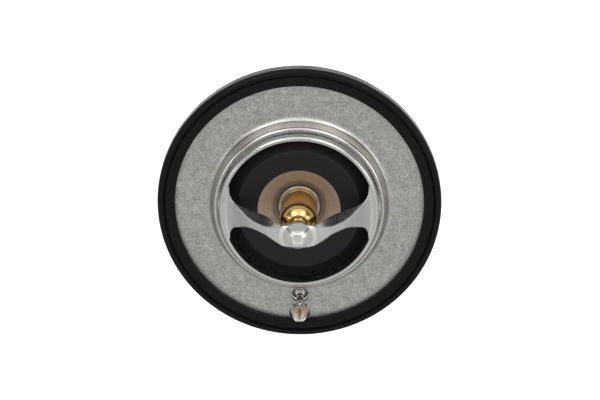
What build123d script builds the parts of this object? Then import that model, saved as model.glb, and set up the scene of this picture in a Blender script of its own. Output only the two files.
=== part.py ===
from build123d import *
from math import atan, cos, degrees, radians, sin, tan
import os

# Wax-element valve for an engine's cooling circuit: a flanged frame with a sprung valve plate.
# Millimetres.  The origin is on the axis at the flange's middle plane, and +Z runs along the
# axis towards the bridge's crown.  The small vent pin stands on the -Y side.

# Flange: a pressed ring with a drawn collar
flange_radius = 30.0
flange_sheet = 1.2
collar_wall = 1.1
collar_spread = 0.8
collar_height = 3.2

# Gasket: a U-section ring over the flange's rim
gasket_wall = 2.0
gasket_lip = 2.0
lip_thickness = 1.2
bead_rise = 0.4
bead_width = 1.35
bead_fillet = 1.1
bead_crest = 0.15
groove_width = 0.35
groove_depth = 0.35

# Bridge: one pressing with a ring, two arched channel arms and a domed crown
opening_radius = 16.85
bridge_sheet = 1.15
ring_height = 6.1
crown_height = 20.6
dome_radius = 2.5
dome_rise = 1.8
dome_flare = 1.6
dome_roof = 1.4
crown_boss = 3.05
arm_wall = 0.8
arm_fillet = 0.55

# Valve plate and its bonded rubber
plateau_height = 4.2
plateau_radius = 13.7
bare_metal_radius = 9.5
rubber_thickness = 1.1
rubber_skirt = 1.9
rubber_wrap = 1.1
plate_inset = 0.9
sealing_angle = 43.0
plate_sheet = 0.9
hub_height = 1.0
hub_radius = 5.4
seat_clearance = 0.25
rim_clearance = 0.5

# Wax element
guide_radius = 4.15
guide_shoulder = 1.2
guide_gap = 3.1
piston_radius = 1.8
running_clearance = 0.05
retaining_ring_section = 0.8
ring_groove_depth = 0.35
shoulder_radius = 7.2
shoulder_height = 2.2
cup_wall = 0.8
cup_radius = 6.4
cup_length = 26.0
crimp_lip = 1.3
diaphragm_thickness = 0.8
plug_length = 3.5
backup_thickness = 0.8

# Main spring and the lower frame that carries it
valve_lift = 9.0
spring_wire = 1.9
spring_mean_radius = 11.2
active_turns = 4
coil_gap = 0.03
spring_seat_depth = 19.0
lower_sheet = 1.2
leg_width = 9.0
leg_clearance = 0.35
foot_length = 5.0
leg_margin = 1.3
leg_bend = 1.5
seat_margin = 1.2

# Bypass valve on the element's stem
stem_radius = 2.2
stem_flange_radius = 4.4
stem_flange = 0.6
stem_chamfer = 0.4
bypass_radius = 11.5
bypass_sheet = 1.2
bypass_gap = 9.0
bypass_collar = 1.4
bypass_collar_wall = 0.95
bypass_wire = 1.1
bypass_spring_top = 5.2
bypass_spring_bottom = 8.6
bypass_turns = 3.0
clip_radius = 4.0
clip_thickness = 0.8
clip_groove = 0.4
clip_mouth = 2.8
stem_tail = 1.2

# Vent valve: a pinched pin with a ball, loose in a hole of the flange
vent_gap = 0.35
vent_hole_radius = 1.95
vent_ball_radius = 2.5
vent_neck_radius = 0.8
vent_lean = 14.0
vent_seat_gap = 0.15
vent_head_start = 5.4
vent_head_end = 11.0
vent_head_shoulder = 0.6
vent_head_straight = 1.8
vent_head_width = 4.7
vent_head_thickness = 2.3
vent_tip_width = 1.8
vent_tip_thickness = 1.0
vent_pinch_share = 0.22
vent_tail = 0.5
vent_tail_radius = 1.3

os.makedirs("parts", exist_ok=True)


def section(*corners):
    """Closed profile in the XZ plane; each corner is (radius, height, fillet)."""
    points = [(radius, height) for radius, height, fillet in corners]
    fillets = [fillet for radius, height, fillet in corners]
    with BuildSketch(Plane.XZ) as outline:
        with BuildLine():
            FilletPolyline(*points, radius=fillets, close=True)
        make_face()
    return outline.sketch


# Heights and radii shared by several pieces
flange_top = flange_sheet / 2
flange_bottom = -flange_sheet / 2
ring_radius = opening_radius + bridge_sheet
collar_top = flange_top + collar_height
collar_top_radius = ring_radius + collar_wall
collar_base_radius = collar_top_radius + collar_spread
vent_circle = collar_base_radius + vent_gap + vent_hole_radius
slope = tan(radians(sealing_angle))
stretch = 1 / cos(radians(sealing_angle))
rubber_radius = ring_radius - rim_clearance
seat_height = plateau_height - (opening_radius - plateau_radius) * slope + seat_clearance * stretch
dome_apex = crown_height + dome_rise
bore_radius = piston_radius + running_clearance
guide_top = crown_height - bridge_sheet - crown_boss - guide_gap
hub_bottom = hub_height - plate_sheet
shoulder_top = hub_bottom - cup_wall
shoulder_bottom = shoulder_top - shoulder_height
cup_ledge = shoulder_bottom - diaphragm_thickness
cup_bottom = -cup_length
crimp_radius = shoulder_radius - crimp_lip
spring_floor = -spring_seat_depth

# ---------------------------------------------------------------- fixed frame

with BuildPart() as flange:
    revolve(
        section(
            (flange_radius, flange_bottom, 0),
            (flange_radius, flange_top, 0),
            (collar_base_radius, flange_top, 0.8),
            (collar_top_radius, collar_top, 0.45),
            (ring_radius, collar_top, 0),
            (ring_radius, flange_top, 0.3),
            (ring_radius + 0.6, flange_bottom, 0.5),
        ),
        axis=Axis.Z,
    )
    with Locations(Location((0, -vent_circle, flange_top))):
        Hole(radius=vent_hole_radius)

with BuildPart() as gasket:
    gasket_radius = flange_radius + gasket_wall
    gasket_lip_radius = flange_radius - gasket_lip
    lip_top = flange_top + lip_thickness
    bead_top = lip_top + bead_rise
    bead_radius = gasket_radius - bead_width
    groove_radius = bead_radius - groove_width
    upper_side = [
        (gasket_lip_radius, lip_top, 0.3),
        (groove_radius - groove_width / 2, lip_top, 0),
        (groove_radius, lip_top - groove_depth, 0),
        (bead_radius, bead_top, bead_crest),
        (gasket_radius, bead_top, bead_fillet),
    ]
    lower_side = [(radius, -height, fillet) for radius, height, fillet in reversed(upper_side)]
    slot = [
        (gasket_lip_radius, flange_bottom, 0),
        (flange_radius, flange_bottom, 0),
        (flange_radius, flange_top, 0),
        (gasket_lip_radius, flange_top, 0),
    ]
    revolve(section(*upper_side, *lower_side, *slot), axis=Axis.Z)

# The two arms are lofted through upright sections.  A station gives its share of the way from
# the crown's middle to the ring, its share of the rise, its half width at the top and at the
# free edges, its depth and the upright thickness of its roof.  The last station lies inside
# the ring, and past the arm's slope the roof is thicker than the arm, which ends the channel.
arm_reach = ring_radius - 0.7
arm_rise = crown_height - ring_height
arm_stations = [
    (0.00, 1.000, 2.1, 2.5, 1.5, 1.15),
    (0.20, 0.972, 2.0, 2.4, 1.5, 1.15),
    (0.30, 0.860, 1.75, 2.3, 1.8, 1.40),
    (0.40, 0.728, 1.5, 2.2, 2.8, 1.70),
    (0.50, 0.588, 1.4, 2.2, 3.1, 1.80),
    (0.60, 0.450, 1.5, 2.2, 2.8, 1.80),
    (0.70, 0.290, 2.0, 2.4, 1.9, 1.90),
    (0.78, 0.145, 2.5, 2.6, 1.4, 2.20),
    (0.86, 0.060, 3.4, 3.5, 1.3, 2.50),
    (0.92, 0.020, 5.2, 5.25, 1.2, 2.50),
    (1.00, -0.030, 4.6, 4.6, 1.2, 2.50),
]
hollow_stations = arm_stations[:8]
channel_flare = 0.2


def upright_section(share, top, bottom, half_top, half_edge, fillet):
    """Upright section of an arm, or of its hollow, at a share of the arm's reach."""
    plane = Plane(origin=(arm_reach * share, 0, 0), x_dir=(0, 1, 0), z_dir=(1, 0, 0))
    with BuildSketch(plane) as upright:
        with BuildLine():
            FilletPolyline(
                (half_edge, bottom),
                (half_top, top),
                (-half_top, top),
                (-half_edge, bottom),
                radius=[0, fillet, fillet, 0],
                close=True,
            )
        make_face()
    return upright.sketch


def arm_section(share, rise, half_top, half_edge, depth, roof):
    """Outer section of an arm."""
    top = ring_height + arm_rise * rise
    return upright_section(share, top, top - depth, half_top, half_edge, arm_fillet)


def hollow_section(share, rise, half_top, half_edge, depth, roof):
    """Section of the channel under an arm, open below."""
    top = ring_height + arm_rise * rise - roof
    inner_edge = half_edge - arm_wall + channel_flare
    return upright_section(share, top, top - depth, half_top - arm_wall, inner_edge, 0)


def both_ways(stations):
    """The stations of both arms, from the -X end to the +X end."""
    far_side = [(-share, *sizes) for share, *sizes in reversed(stations[1:])]
    return far_side + list(stations)


with BuildPart() as arms:
    loft([arm_section(*station) for station in both_ways(arm_stations)])

with BuildPart() as arm_channel:
    loft([hollow_section(*station) for station in both_ways(hollow_stations)])

boss_bottom = crown_height - bridge_sheet - crown_boss
skirt_foot = crown_height - bridge_sheet / 2
skirt_rise = 0.8
skirt_half_width = arm_stations[0][2] - arm_fillet - 0.1

with BuildPart() as dome_skirt:
    with BuildSketch(Plane.XZ) as skirt_profile:
        with BuildLine():
            shoulder = ThreePointArc(
                (dome_radius * 0.8, crown_height + skirt_rise),
                (dome_radius, crown_height + skirt_rise / 4),
                (dome_radius + dome_flare, crown_height),
            )
            Polyline(
                shoulder @ 1,
                (dome_radius + dome_flare, skirt_foot),
                (0, skirt_foot),
                (0, crown_height + skirt_rise),
                shoulder @ 0,
            )
        make_face()
    revolve(axis=Axis.Z)
    with Locations((0, 0, crown_height)):
        Box(4 * dome_radius, 2 * skirt_half_width, 2 * dome_rise, mode=Mode.INTERSECT)

with BuildPart() as dome:
    with BuildSketch(Plane.XZ) as dome_profile:
        with BuildLine():
            cap = CenterArc((0, dome_apex - dome_radius), dome_radius, 90, -90)
            Polyline(cap @ 1, (dome_radius, boss_bottom), (0, boss_bottom), cap @ 0)
        make_face()
    revolve(axis=Axis.Z)

with BuildPart() as bridge:
    revolve(
        section(
            (opening_radius, seat_height, 0.3),
            (ring_radius, seat_height, 0),
            (ring_radius, ring_height, 0.5),
            (opening_radius, ring_height, 0.5),
        ),
        axis=Axis.Z,
    )
    add(arms.part)
    add(arm_channel.part, mode=Mode.SUBTRACT)
    add(dome_skirt.part)
    add(dome.part)
    with BuildSketch(Plane.XY.offset(boss_bottom)):
        Circle(bore_radius)
    extrude(amount=dome_apex - dome_roof - boss_bottom, mode=Mode.SUBTRACT)

with BuildPart() as lower_frame:
    sheet_middle = flange_bottom - lower_sheet / 2
    leg_middle = ring_radius + leg_clearance + lower_sheet / 2
    leg_knee = -(valve_lift + rubber_skirt + leg_margin)
    seat_radius = spring_mean_radius + spring_wire / 2 + seat_margin
    seat_middle = spring_floor - lower_sheet / 2
    with BuildSketch(Plane.XZ) as leg_profile:
        with BuildLine() as leg_line:
            FilletPolyline(
                (leg_middle + foot_length, sheet_middle),
                (leg_middle, sheet_middle),
                (leg_middle, leg_knee),
                (seat_radius, seat_middle),
                (seat_radius - 4, seat_middle),
                radius=leg_bend,
            )
        trace(leg_line.line, line_width=lower_sheet)
    extrude(amount=leg_width / 2, both=True)
    mirror(about=Plane.YZ)
    revolve(
        section(
            (cup_radius + running_clearance, spring_floor - lower_sheet, 0),
            (seat_radius, spring_floor - lower_sheet, 0.4),
            (seat_radius, spring_floor, 0),
            (cup_radius + running_clearance, spring_floor, 0.4),
        ),
        axis=Axis.Z,
    )

plug_bottom = shoulder_bottom + seat_clearance
plug_top = plug_bottom + plug_length
backup_top = plug_top + backup_thickness
piston_top = dome_apex - dome_roof

with BuildPart() as piston:
    with BuildSketch(Plane.XY.offset(backup_top)):
        Circle(piston_radius)
    extrude(amount=piston_top - backup_top)
    chamfer(piston.edges().filter_by(GeomType.CIRCLE), length=0.25)

with BuildPart() as backup_disc:
    with BuildSketch(Plane.XY.offset(plug_top)):
        Circle(piston_radius)
    extrude(amount=backup_thickness)

with BuildPart() as rubber_plug:
    with BuildSketch(Plane.XY.offset(plug_bottom)):
        Circle(piston_radius)
    extrude(amount=plug_length)

# ---------------------------------------------------------------- moving valve

plate_top = plateau_height - rubber_thickness
plate_bottom = plate_top - plate_sheet
rim_radius = rubber_radius - plate_inset


def slope_height(radius, offset):
    """Height of the sealing cone at a radius, the given distance under its surface."""
    return plateau_height - (radius - plateau_radius) * slope - offset * stretch


def slope_radius(height, offset):
    """Radius at which the line an offset under the sealing cone reaches a height."""
    return plateau_radius + (plateau_height - offset * stretch - height) / slope


with BuildPart() as valve_plate:
    lower_rim = rim_radius - plate_sheet * 0.7
    under_rubber = rubber_thickness + plate_sheet
    dish_slope = (plateau_height - hub_height) / (bare_metal_radius - hub_radius)
    dish_foot = hub_radius + plate_sheet / 2
    revolve(
        section(
            (guide_radius, hub_bottom, 0),
            (guide_radius, hub_height, 0),
            (hub_radius, hub_height, 0.8),
            (bare_metal_radius, plateau_height, 0),
            (bare_metal_radius, plate_top, 0),
            (slope_radius(plate_top, rubber_thickness), plate_top, 0),
            (rim_radius, slope_height(rim_radius, rubber_thickness), 0),
            (lower_rim, slope_height(lower_rim, under_rubber), 0),
            (slope_radius(plate_bottom, under_rubber), plate_bottom, 0),
            (dish_foot + (plate_bottom - hub_bottom) / dish_slope, plate_bottom, 0),
            (dish_foot, hub_bottom, 0.8),
        ),
        axis=Axis.Z,
    )

with BuildPart() as valve_rubber:
    rubber_rim = slope_height(rubber_radius, 0)
    rubber_bottom = rubber_rim - rubber_skirt
    wrap_radius = rim_radius - rubber_wrap
    revolve(
        section(
            (bare_metal_radius, plateau_height, 0),
            (plateau_radius, plateau_height, 0.8),
            (rubber_radius, rubber_rim, 0.4),
            (rubber_radius, rubber_bottom, 0.5),
            (wrap_radius, rubber_bottom, 0),
            (wrap_radius, slope_height(wrap_radius, under_rubber), 0),
            (lower_rim, slope_height(lower_rim, under_rubber), 0),
            (rim_radius, slope_height(rim_radius, rubber_thickness), 0),
            (slope_radius(plate_top, rubber_thickness), plate_top, 0),
            (bare_metal_radius, plate_top, 0),
        ),
        axis=Axis.Z,
    )

groove_floor = guide_radius - ring_groove_depth
ring_top = hub_height + retaining_ring_section

with BuildPart() as retaining_ring:
    ring_outer = groove_floor + retaining_ring_section + 0.2
    revolve(
        section(
            (groove_floor, hub_height, 0),
            (ring_outer, hub_height, 0.2),
            (ring_outer, ring_top, 0.35),
            (groove_floor, ring_top, 0),
        ),
        axis=Axis.Z,
    )

with BuildPart() as element_guide:
    revolve(
        section(
            (bore_radius, shoulder_bottom, 0),
            (bore_radius, guide_top, 0.2),
            (guide_radius, guide_top, guide_shoulder),
            (guide_radius, ring_top, 0),
            (groove_floor, ring_top, 0),
            (groove_floor, hub_height, 0),
            (guide_radius, hub_height, 0),
            (guide_radius, hub_bottom, 0),
            (crimp_radius, hub_bottom, 0),
            (crimp_radius, shoulder_top, 0),
            (shoulder_radius, shoulder_top, 0),
            (shoulder_radius, shoulder_bottom, 0),
        ),
        axis=Axis.Z,
    )

with BuildPart() as diaphragm:
    with BuildSketch(Plane.XY.offset(cup_ledge)):
        Circle(shoulder_radius)
    extrude(amount=diaphragm_thickness)

with BuildPart() as element_cup:
    inner_radius = cup_radius - cup_wall
    head_radius = shoulder_radius + cup_wall
    revolve(
        section(
            (crimp_radius, hub_bottom, 0),
            (head_radius, hub_bottom, 0.5),
            (head_radius, cup_ledge - cup_wall, 0.4),
            (cup_radius, cup_ledge - cup_wall, 0.4),
            (cup_radius, cup_bottom, 0.8),
            (0, cup_bottom, 0),
            (0, cup_bottom + cup_wall, 0),
            (inner_radius, cup_bottom + cup_wall, 0.8),
            (inner_radius, cup_ledge, 0),
            (shoulder_radius, cup_ledge, 0),
            (shoulder_radius, shoulder_top, 0),
            (crimp_radius, shoulder_top, 0),
        ),
        axis=Axis.Z,
    )

with BuildPart() as wax_charge:
    revolve(
        section(
            (0, cup_bottom + cup_wall, 0),
            (inner_radius, cup_bottom + cup_wall, 0.8),
            (inner_radius, cup_ledge, 0),
            (0, cup_ledge, 0),
        ),
        axis=Axis.Z,
    )

# The main spring has one close turn at each end and open turns between them.
with BuildPart() as main_spring:
    close_pitch = spring_wire + coil_gap
    coil_start = spring_floor + spring_wire / 2 + coil_gap
    coil_end = plate_bottom - spring_wire / 2 - coil_gap
    open_height = coil_end - coil_start - 2 * close_pitch
    with BuildLine() as coil:
        lower_turn = Helix(close_pitch, close_pitch, spring_mean_radius, center=(0, 0, coil_start))
        open_start = coil_start + close_pitch
        open_coil = Helix(
            open_height / active_turns, open_height, spring_mean_radius, center=(0, 0, open_start)
        )
        upper_start = open_start + open_height
        upper_turn = Helix(close_pitch, close_pitch, spring_mean_radius, center=(0, 0, upper_start))
    with BuildSketch(Plane(origin=coil.line @ 0, z_dir=coil.line % 0)):
        Circle(spring_wire / 2)
    sweep(path=coil.line, is_frenet=True)

# ---------------------------------------------------------------- bypass valve

disc_top = cup_bottom - bypass_gap
disc_bottom = disc_top - bypass_sheet
clip_bottom = disc_bottom - clip_thickness
stem_end = clip_bottom - stem_tail
clip_floor = stem_radius - clip_groove

with BuildPart() as bypass_stem:
    revolve(
        section(
            (0, cup_bottom, 0),
            (stem_flange_radius, cup_bottom, 0),
            (stem_flange_radius, cup_bottom - stem_flange, 0.2),
            (stem_radius, cup_bottom - stem_flange, 0),
            (stem_radius, disc_bottom, 0),
            (clip_floor, disc_bottom, 0),
            (clip_floor, clip_bottom, 0),
            (stem_radius, clip_bottom, 0),
            (stem_radius, stem_end, stem_chamfer),
            (0, stem_end, 0),
        ),
        axis=Axis.Z,
    )

with BuildPart() as bypass_disc:
    disc_bore = stem_radius + running_clearance
    collar_radius = disc_bore + bypass_collar_wall
    revolve(
        section(
            (disc_bore, disc_bottom, 0),
            (bypass_radius, disc_bottom, 0.4),
            (bypass_radius, disc_top, 0.4),
            (collar_radius, disc_top, 0.4),
            (collar_radius, disc_top + bypass_collar, 0.2),
            (disc_bore, disc_top + bypass_collar, 0),
        ),
        axis=Axis.Z,
    )

with BuildPart() as bypass_clip:
    with BuildSketch(Plane.XY.offset(clip_bottom)):
        Circle(clip_radius)
        Circle(clip_floor, mode=Mode.SUBTRACT)
        with Locations((0, clip_radius / 2 + clip_floor / 2)):
            Rectangle(clip_mouth, clip_radius, mode=Mode.SUBTRACT)
    extrude(amount=clip_thickness)

with BuildPart() as bypass_spring:
    bypass_start = disc_top + bypass_wire / 2 + coil_gap
    bypass_height = cup_bottom - bypass_wire / 2 - coil_gap - bypass_start
    narrowing = (bypass_spring_bottom - bypass_spring_top) / bypass_height
    with BuildLine() as cone_coil:
        Helix(
            bypass_height / bypass_turns,
            bypass_height,
            bypass_spring_bottom,
            center=(0, 0, bypass_start),
            cone_angle=-degrees(atan(narrowing)),
        )
    with BuildSketch(Plane(origin=cone_coil.line @ 0, z_dir=cone_coil.line % 0)):
        Circle(bypass_wire / 2)
    sweep(path=cone_coil.line, is_frenet=True)

# ---------------------------------------------------------------- vent valve

# The pin leans outwards about its ball's middle; its own plane has z along the pin.
ball_reach = vent_ball_radius + vent_seat_gap
ball_height = flange_bottom - (ball_reach**2 - vent_hole_radius**2) ** 0.5
lean = radians(vent_lean)
vent_plane = Plane(
    origin=(0, -vent_circle, ball_height), x_dir=(1, 0, 0), z_dir=(0, -sin(lean), cos(lean))
)

with BuildPart(vent_plane) as vent_ball:
    Sphere(vent_ball_radius)
    Cylinder(vent_neck_radius, 3 * vent_ball_radius, mode=Mode.SUBTRACT)

with BuildPart() as vent_pin:
    neck_foot = -((vent_ball_radius**2 - vent_neck_radius**2) ** 0.5)
    with BuildSketch(vent_plane.offset(neck_foot - vent_tail)):
        Circle(vent_tail_radius)
    extrude(amount=vent_tail)
    with BuildSketch(vent_plane.offset(neck_foot)):
        Circle(vent_neck_radius)
    extrude(amount=vent_head_start - neck_foot)
    # The head is squeezed flat, with a groove along both faces.  A station gives its distance
    # along the pin, its width and its thickness.
    shoulder_end = vent_head_start + vent_head_shoulder
    head_stations = [
        (vent_head_start, vent_tip_width, vent_tip_thickness),
        (shoulder_end, vent_head_width, vent_head_thickness),
        (shoulder_end + vent_head_straight, vent_head_width, vent_head_thickness),
        (vent_head_end, vent_tip_width, vent_tip_thickness),
    ]
    for distance, width, thickness in head_stations:
        pinch = vent_pinch_share * thickness
        quarter = [
            (width / 2, thickness / 2 - pinch),
            (width / 2 - pinch, thickness / 2),
            (pinch, thickness / 2),
            (0, thickness / 2 - pinch),
        ]
        upper = quarter + [(-x, y) for x, y in reversed(quarter[:-1])]
        lower = [(x, -y) for x, y in reversed(upper)]
        with BuildSketch(vent_plane.offset(distance)):
            Polygon(*upper, *lower, align=None)
    loft(ruled=True)

for name, piece in [
    ("flange", flange),
    ("gasket", gasket),
    ("bridge", bridge),
    ("lower_frame", lower_frame),
    ("piston", piston),
    ("backup_disc", backup_disc),
    ("rubber_plug", rubber_plug),
    ("valve_plate", valve_plate),
    ("valve_rubber", valve_rubber),
    ("retaining_ring", retaining_ring),
    ("element_guide", element_guide),
    ("diaphragm", diaphragm),
    ("element_cup", element_cup),
    ("wax_charge", wax_charge),
    ("main_spring", main_spring),
    ("bypass_stem", bypass_stem),
    ("bypass_disc", bypass_disc),
    ("bypass_clip", bypass_clip),
    ("bypass_spring", bypass_spring),
    ("vent_ball", vent_ball),
    ("vent_pin", vent_pin),
]:
    piece.part.label = name
    export_step(piece.part, f"parts/{name}.step")
    print(name, round(piece.part.volume, 1), "mm3, solids", len(piece.part.solids()))
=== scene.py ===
# %% [markdown]
# # An engine's coolant valve, dressed for its render
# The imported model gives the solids, their bodies and their joints. This lesson gives each piece
# the shape in fine and the surface that the real one has.

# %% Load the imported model
import math

import bmesh
import bpy
import numpy as np
from mathutils import Matrix, Vector


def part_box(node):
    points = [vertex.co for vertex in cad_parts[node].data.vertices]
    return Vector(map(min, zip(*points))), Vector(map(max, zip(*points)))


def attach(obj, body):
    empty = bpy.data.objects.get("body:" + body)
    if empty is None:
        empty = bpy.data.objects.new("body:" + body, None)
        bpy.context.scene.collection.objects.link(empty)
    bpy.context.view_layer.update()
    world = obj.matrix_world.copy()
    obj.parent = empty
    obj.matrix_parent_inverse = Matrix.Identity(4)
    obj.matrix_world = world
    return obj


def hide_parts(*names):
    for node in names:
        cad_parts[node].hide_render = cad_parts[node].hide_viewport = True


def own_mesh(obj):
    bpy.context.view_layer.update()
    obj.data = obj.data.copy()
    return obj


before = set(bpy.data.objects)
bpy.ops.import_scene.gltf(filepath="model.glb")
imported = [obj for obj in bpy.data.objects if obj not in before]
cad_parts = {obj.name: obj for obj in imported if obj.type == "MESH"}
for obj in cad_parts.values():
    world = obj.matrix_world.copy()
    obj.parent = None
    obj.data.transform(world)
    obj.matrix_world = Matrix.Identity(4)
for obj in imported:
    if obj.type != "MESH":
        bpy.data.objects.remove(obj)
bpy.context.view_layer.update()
scene = bpy.context.scene
MM = 0.001

# %% [markdown]
# ## Helpers for shapes
# Most pieces were turned, pressed or moulded round one axis, so they are drawn as half a section
# in millimetres and spun.  A drawn corner is (radius, height, rounding).  Each rounding is an
# arc, with one more point just outside either end of it: that keeps the flat faces flat when
# the mesh is shaded smooth, as a bevel with hardened normals would.

# %% Rounded sections
ARC_STEPS = 6
GUARD = 0.05


def rounded(corners, guard=GUARD, closed=True):
    """Points along a section whose corners are rounded."""
    points = []
    last = len(corners) - 1
    for index, (across, up, rounding) in enumerate(corners):
        here = np.array((across, up), float)
        if rounding <= 0 or (not closed and index in (0, last)):
            points.append(here)
            continue
        before = np.array(corners[index - 1][:2], float) - here
        after = np.array(corners[(index + 1) % len(corners)][:2], float) - here
        before /= np.linalg.norm(before)
        after /= np.linalg.norm(after)
        half_angle = math.acos(np.clip(before @ after, -1, 1)) / 2
        reach = rounding / math.tan(half_angle)
        bisector = (before + after) / np.linalg.norm(before + after)
        middle = here + bisector * rounding / math.sin(half_angle)
        start, finish = here + before * reach, here + after * reach
        turn = math.pi - 2 * half_angle
        if guard:
            points.append(start + before * guard)
        for share in np.linspace(0, 1, ARC_STEPS + 1):
            from_start = math.sin((1 - share) * turn) / math.sin(turn)
            from_finish = math.sin(share * turn) / math.sin(turn)
            points.append(middle + (start - middle) * from_start + (finish - middle) * from_finish)
        if guard:
            points.append(finish + after * guard)
    return points


# %% [markdown]
# A lathe joins one ring of points to the next.  A point on the axis is a single vertex, so that
# a turned end closes in a fan and leaves no hole at its pole.

# %% The lathe
SEGMENTS = 180


def spun(mesh, points, segments=SEGMENTS):
    """Adds a closed section, spun round the Z axis, to a bmesh."""
    rings = []
    for radius, height in points:
        count = 1 if radius < 1e-6 else segments
        turns = [2 * math.pi * k / segments for k in range(count)]
        rings.append(
            [
                mesh.verts.new((radius * MM * math.cos(a), radius * MM * math.sin(a), height * MM))
                for a in turns
            ]
        )
    for ring, after in zip(rings, rings[1:] + rings[:1]):
        for k in range(segments):
            there = (k + 1) % segments
            near = [ring[k % len(ring)], ring[there % len(ring)]]
            far = [after[there % len(after)], after[k % len(after)]]
            face = list(dict.fromkeys(near + far))
            if len(face) > 2:
                mesh.faces.new(face)


SHARP_FROM = 38


def finished(name, mesh, sharp=SHARP_FROM):
    """Makes an object of a bmesh: faces turned outwards, and smooth but for real corners."""
    bmesh.ops.recalc_face_normals(mesh, faces=mesh.faces)
    data = bpy.data.meshes.new(name)
    mesh.to_mesh(data)
    mesh.free()
    data.polygons.foreach_set("use_smooth", [True] * len(data.polygons))
    data.set_sharp_from_angle(angle=math.radians(sharp))
    piece = bpy.data.objects.new(name, data)
    scene.collection.objects.link(piece)
    return piece


def apply_modifiers(piece):
    """Gives a piece the mesh that its modifiers make of it."""
    bpy.context.view_layer.update()
    graph = bpy.context.evaluated_depsgraph_get()
    mesh = bpy.data.meshes.new_from_object(piece.evaluated_get(graph))
    piece.modifiers.clear()
    piece.data = mesh


def turned(name, corners):
    """A turned piece from the corners of its half section."""
    mesh = bmesh.new()
    spun(mesh, rounded(corners))
    return finished(name, mesh)


FLAT_WITHIN = 0.5
CORNER_FROM = 40


def bevel_edges(mesh, edges, width, profile):
    """Bevels edges of a bmesh by a width in millimetres."""
    bmesh.ops.bevel(
        mesh,
        geom=edges,
        offset=width * MM,
        segments=2,
        profile=profile,
        affect="EDGES",
        clamp_overlap=True,
    )


def merged(node, name, bevel):
    """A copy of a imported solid, its triangles merged to whole faces and its corners beveled."""
    mesh = bmesh.new()
    mesh.from_mesh(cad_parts[node].data)
    bmesh.ops.remove_doubles(mesh, verts=mesh.verts, dist=1e-6)
    bmesh.ops.dissolve_limit(
        mesh, angle_limit=math.radians(FLAT_WITHIN), verts=mesh.verts, edges=mesh.edges
    )
    corner = math.radians(CORNER_FROM)
    corners = [e for e in mesh.edges if len(e.link_faces) == 2 and e.calc_face_angle() > corner]
    bevel_edges(mesh, corners, bevel, 0.5)
    return finished(name, mesh, sharp=30)


# %% [markdown]
# ## Helpers for finishes
# Colours are written as the hex values of a paint card and turned to linear light.  One function
# adds a node with its settings and links: the inputs come in their order, or by name or number.
# Every pattern is scaled from a real size.

# %% Colours and nodes


def colour(code):
    """Linear colour from an sRGB hex code."""
    parts = [int(code[i : i + 2], 16) / 255 for i in (1, 3, 5)]
    linear = (v / 12.92 if v <= 0.04045 else ((v + 0.055) / 1.055) ** 2.4 for v in parts)
    return (*linear, 1.0)


def output_of(source):
    """The first output that a node has in use, or the output itself."""
    if isinstance(source, bpy.types.Node):
        return next(socket for socket in source.outputs if socket.enabled)
    return source


def add_node(tree, kind, inputs=(), **settings):
    """Adds a shader node, or one of a full kind, with its properties, inputs and links."""
    node = tree.nodes.new(kind if "Node" in kind else "ShaderNode" + kind)
    for name, value in settings.items():
        setattr(node, name, value)
    for socket, value in inputs.items() if isinstance(inputs, dict) else enumerate(inputs):
        value = output_of(value)
        if isinstance(value, bpy.types.NodeSocket):
            tree.links.new(value, node.inputs[socket])
        else:
            node.inputs[socket].default_value = value
    return node


def finish_named(name, base, metallic, roughness, **sockets):
    """A new material: itself, its node tree, its shader and the place of a point on its piece."""
    material = bpy.data.materials.new(name)
    material.use_nodes = True
    tree = material.node_tree
    shader = tree.nodes["Principled BSDF"]
    shader.inputs["Base Color"].default_value = colour(base)
    shader.inputs["Metallic"].default_value = metallic
    shader.inputs["Roughness"].default_value = roughness
    for socket, value in sockets.items():
        shader.inputs[socket.replace("_", " ")].default_value = value
    return material, tree, shader, add_node(tree, "TexCoord").outputs["Object"]


def feed(shader, **sources):
    """Links nodes to a shader's inputs."""
    for socket, source in sources.items():
        shader.id_data.links.new(output_of(source), shader.inputs[socket.replace("_", " ")])


def per_mm(size):
    """The scale that gives a texture features of a size in millimetres."""
    return 1 / (size * MM)


def dress(piece, material):
    """Gives a piece its only material."""
    piece.data.materials.clear()
    piece.data.materials.append(material)
    return piece


# %% [markdown]
# Many finishes follow the distance from the part's axis, as a lathe or a drawing die leaves them.
# Rings are a noise with only one dimension, which is that distance.

# %% Rings round the axis


def axis_distance(tree, place):
    """Distance of a place from the axis."""
    level = add_node(tree, "VectorMath", (place, (1.0, 1.0, 0.0)), operation="MULTIPLY")
    return add_node(tree, "VectorMath", (level,), operation="LENGTH")


def rings_round_axis(tree, place, spacing, detail=2.0, roughness=0.6):
    """A value in rings of a given spacing round the axis, and the distance from the axis."""
    distance = axis_distance(tree, place)
    rings = add_node(
        tree,
        "TexNoise",
        {"W": distance, "Scale": per_mm(spacing), "Detail": detail, "Roughness": roughness},
        noise_dimensions="1D",
    )
    return rings, distance


# %% [markdown]
# The simpler finishes all say the same three things: which pattern mixes two colours, which one
# makes the skin duller, and which one stands out in relief.  One function builds them.

# %% A finish from its patterns


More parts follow.
